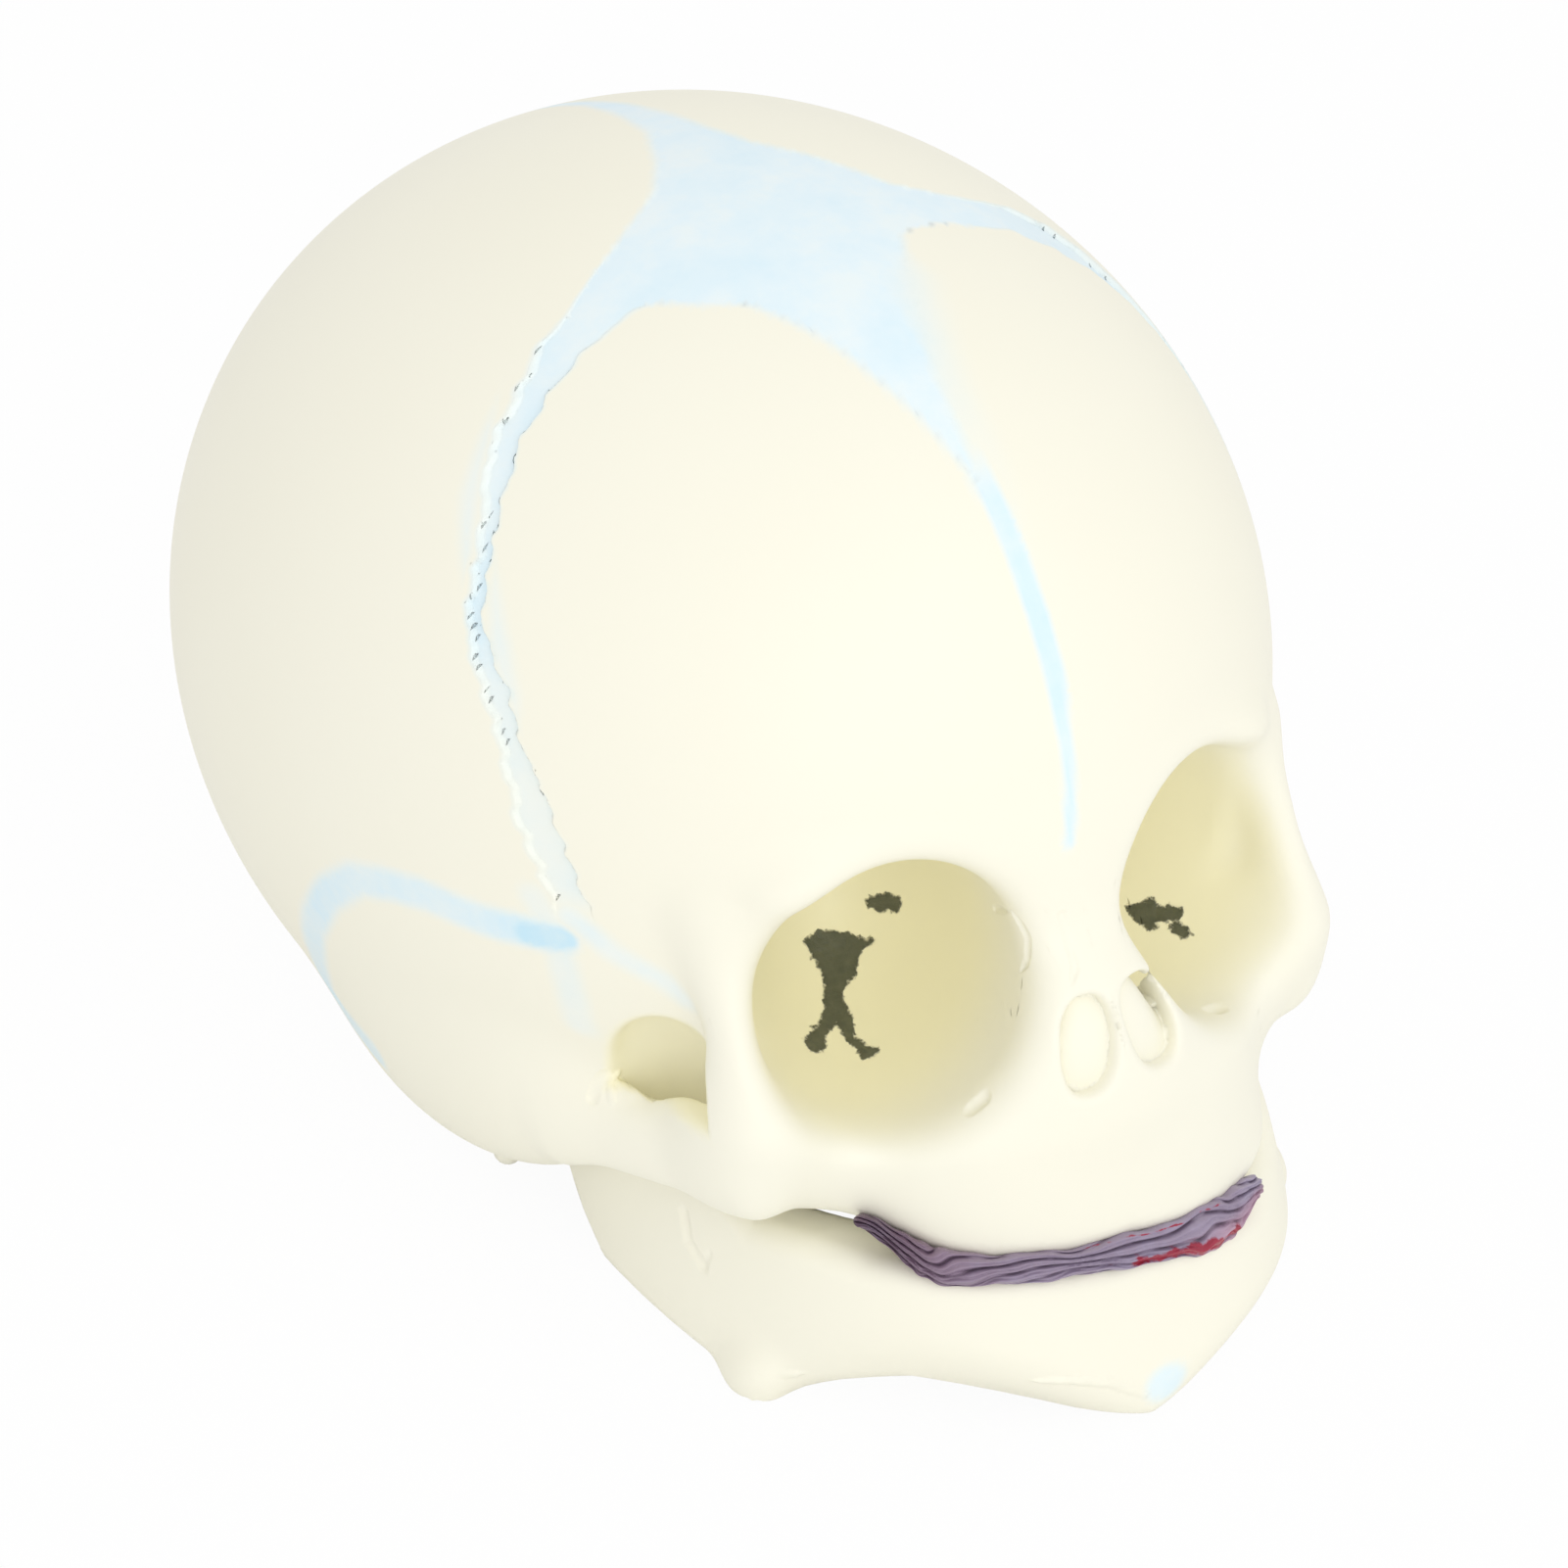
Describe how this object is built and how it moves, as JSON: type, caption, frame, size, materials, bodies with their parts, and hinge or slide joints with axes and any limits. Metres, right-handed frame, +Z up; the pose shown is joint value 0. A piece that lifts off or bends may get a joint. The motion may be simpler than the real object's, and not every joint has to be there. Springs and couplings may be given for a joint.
{
  "type": "newborn skull anatomical model",
  "caption": "Newborn skull teaching model with separate vault, base and face bones over a suture membrane, and a hinged lower jaw with a gum strip.",
  "frame": {"origin": "centre of the bounding box on the resting plane", "axes": "-Y the way the face looks, +Z up, +X the skull's own left"},
  "size_m": [0.0926, 0.1316, 0.0871],
  "materials": {
    "bone": "cream cast plastic, satin",
    "membrane": "pale blue painted, satin",
    "gum": "dark purple, glossy",
    "steel": "plain"
  },
  "bodies": {
    "skull": {"frontal_bone_left": "bone", "frontal_bone_right": "bone", "parietal_bone_left": "bone", "parietal_bone_right": "bone", "occipital_squama": "bone", "temporal_bone_left": "bone", "temporal_bone_right": "bone", "sphenoid_bone": "bone", "zygomatic_bone_left": "bone", "zygomatic_bone_right": "bone", "maxilla_left": "bone", "maxilla_right": "bone", "exoccipital_bone_left": "bone", "exoccipital_bone_right": "bone", "basioccipital_bone": "bone", "ethmoid_bone": "bone", "nasal_bone_left": "bone", "nasal_bone_right": "bone", "nasal_septum": "bone", "lacrimal_bone_left": "bone", "lacrimal_bone_right": "bone", "ear_ring_left": "bone", "ear_ring_right": "bone", "suture_membrane": "membrane", "jaw_pin_left": "steel", "jaw_pin_right": "steel"},
    "jaw": {"mandible": "bone", "chin_symphysis": "membrane", "gum_strip": "gum"}
  },
  "joints": [
    {"name": "jaw_hinge", "type": "hinge", "parent": "skull", "child": "jaw", "pos_m": [0, -0.01404, 0.01281], "axis": [1, 0, 0], "range_deg": [0, 20]}
  ]
}
